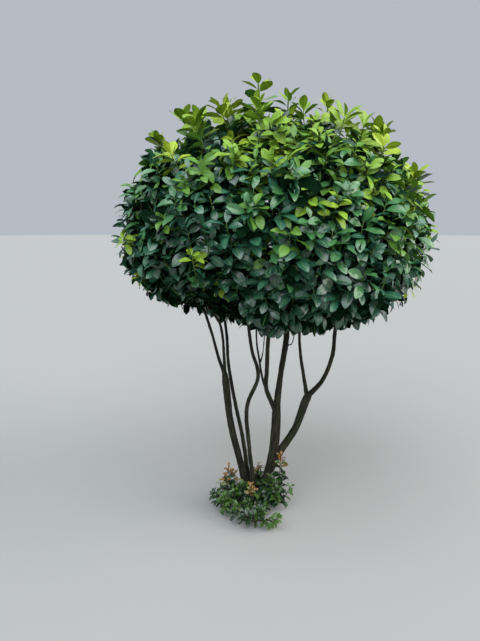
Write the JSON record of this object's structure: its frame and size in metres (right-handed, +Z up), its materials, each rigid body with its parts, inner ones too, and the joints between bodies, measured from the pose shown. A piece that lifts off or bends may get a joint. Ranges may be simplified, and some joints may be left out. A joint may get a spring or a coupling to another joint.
{
  "type": "multi-stem laurel topiary",
  "caption": "Field-grown evergreen laurel with several bare leaning stems from one root crown, clipped to a broad dome of glossy leaves, with young shoots round its foot.",
  "frame": {"origin": "middle of the root crown, on the flat cut at ground level", "axes": "+Z up, +X to the viewer's right in the picture, -Y towards the viewer"},
  "size_m": [1.6445, 1.6922, 2.367],
  "materials": {
    "bark": "matt, furrowed, with a green bloom of algae",
    "leaves": "glossy, leathery",
    "young_leaves": "glossy, soft"
  },
  "bodies": {
    "root": {"trunk": "bark", "centre_bough": "bark", "front_bough": "bark", "thin_bough": "bark", "right_stem": "bark", "right_outer_bough": "bark", "right_inner_bough": "bark", "left_stem": "bark", "left_outer_bough": "bark", "left_inner_bough": "bark", "back_left_stem": "bark", "slender_stem": "bark", "foliage_right": "leaves", "foliage_back_right": "leaves", "foliage_back": "leaves", "foliage_back_left": "leaves", "foliage_left": "leaves", "foliage_front_left": "leaves", "foliage_front": "leaves", "foliage_front_right": "leaves", "foliage_top": "leaves", "foot_shoots_left": "young_leaves", "foot_shoots_front": "young_leaves", "foot_shoots_right": "young_leaves", "foot_shoots_back": "young_leaves"}
  },
  "joints": []
}
